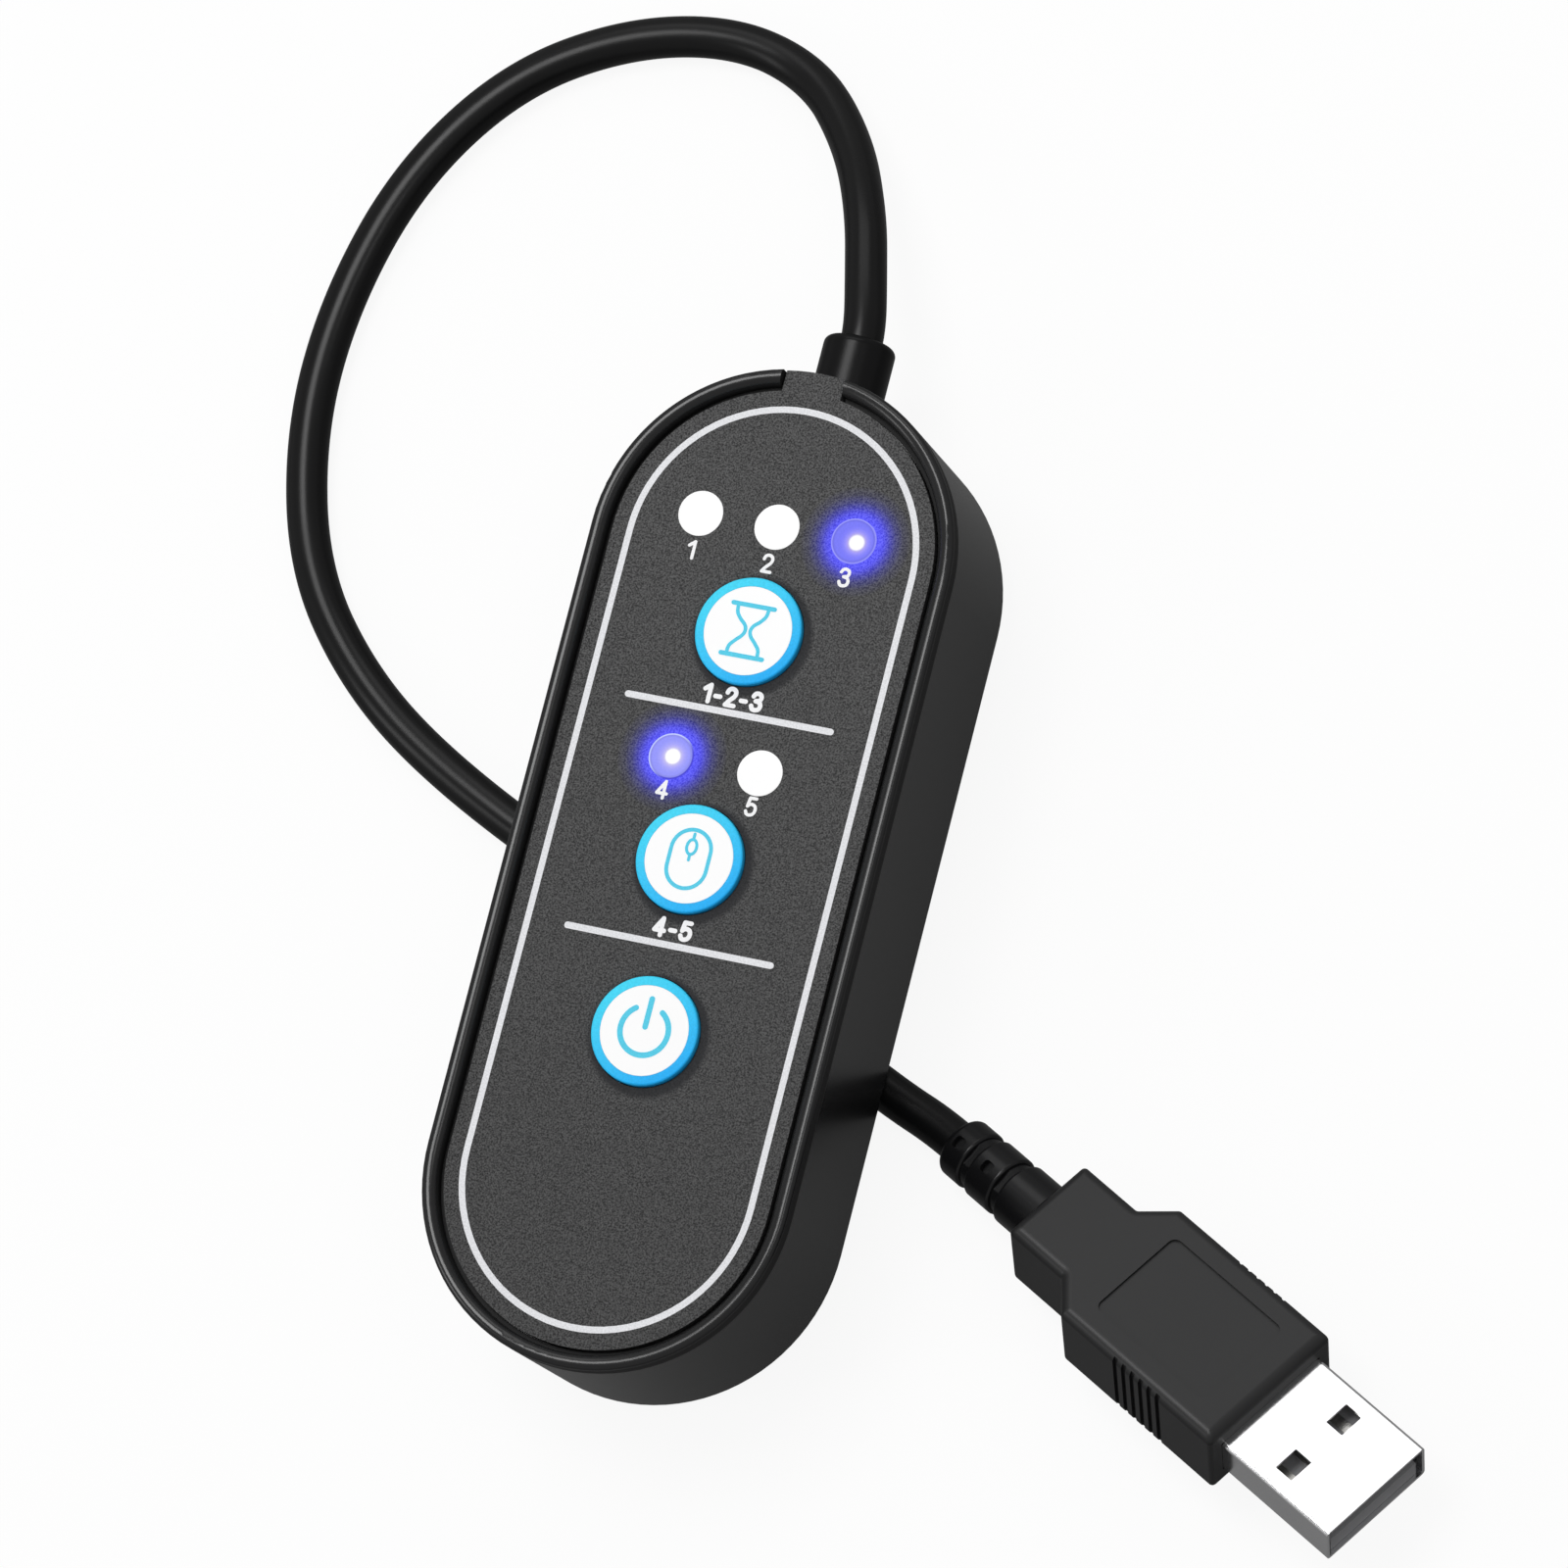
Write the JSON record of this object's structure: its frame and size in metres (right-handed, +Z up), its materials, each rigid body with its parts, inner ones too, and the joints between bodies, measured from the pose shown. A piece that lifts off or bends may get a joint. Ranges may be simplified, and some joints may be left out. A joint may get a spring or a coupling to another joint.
{
  "type": "mouse jiggler",
  "caption": "Pill-shaped USB mouse jiggler: black case with raised bead, grey panel, push buttons, round indicator windows, and a short cord with a type A plug.",
  "frame": {"origin": "middle of the pill-shaped housing block, cord and plug left out", "axes": "+Y along the housing towards the end the cord leaves, +Z up out of the button panel, +X across the housing to its right as seen from above with the cord end away"},
  "size_m": [0.1309, 0.1302, 0.0226],
  "materials": {
    "housing": "satin",
    "panel": "fine grain",
    "window": "gloss",
    "lamp": "gloss",
    "button_rim": "gloss",
    "button_disc": "satin",
    "plunger": "satin",
    "switch": "satin",
    "legs": "tinned",
    "board": "solder mask",
    "screws": "plated",
    "chip": "matte",
    "can": "bright",
    "capacitor": "satin",
    "boot": "matte",
    "cord": "satin",
    "red_wire": "satin",
    "white_wire": "satin",
    "green_wire": "satin",
    "black_wire": "satin",
    "overmould": "satin",
    "shell": "nickel plated",
    "tongue": "matte",
    "contacts": "nickel flash"
  },
  "bodies": {
    "housing": {"housing_tub": "housing", "front_panel": "panel", "time_window_left": "window", "time_window_middle": "window", "time_window_right": "window", "mode_window_left": "window", "mode_window_right": "window", "time_lamp_left": "lamp", "time_lamp_middle": "lamp", "time_lamp_right": "lamp", "mode_lamp_left": "lamp", "mode_lamp_right": "lamp", "time_switch": "switch", "mode_switch": "switch", "power_switch": "switch", "switch_legs": "legs", "chip_legs": "legs", "circuit_board": "board", "board_screws": "screws", "controller_chip": "chip", "resistors": "chip", "crystal_can": "can", "filter_capacitors": "capacitor", "cord_boot": "boot", "cord": "cord", "cord_tail": "cord", "red_wire": "red_wire", "white_wire": "white_wire", "green_wire": "green_wire", "black_wire": "black_wire", "plug_overmould": "overmould", "usb_shell": "shell", "usb_tongue": "tongue", "usb_contacts": "contacts"},
    "time_button": {"time_button_cap": "button_rim", "time_button_disc": "button_disc", "time_switch_plunger": "plunger"},
    "mode_button": {"mode_button_cap": "button_rim", "mode_button_disc": "button_disc", "mode_switch_plunger": "plunger"},
    "power_button": {"power_button_cap": "button_rim", "power_button_disc": "button_disc", "power_switch_plunger": "plunger"}
  },
  "joints": [
    {"name": "time_button_press", "type": "slide", "parent": "housing", "child": "time_button", "axis": [0, 0, -1], "range_m": [0, 0.0004], "stiffness_N_per_m": 800, "springref_m": -0.0002},
    {"name": "mode_button_press", "type": "slide", "parent": "housing", "child": "mode_button", "axis": [0, 0, -1], "range_m": [0, 0.0004], "stiffness_N_per_m": 800, "springref_m": -0.0002},
    {"name": "power_button_press", "type": "slide", "parent": "housing", "child": "power_button", "axis": [0, 0, -1], "range_m": [0, 0.0004], "stiffness_N_per_m": 800, "springref_m": -0.0002}
  ]
}
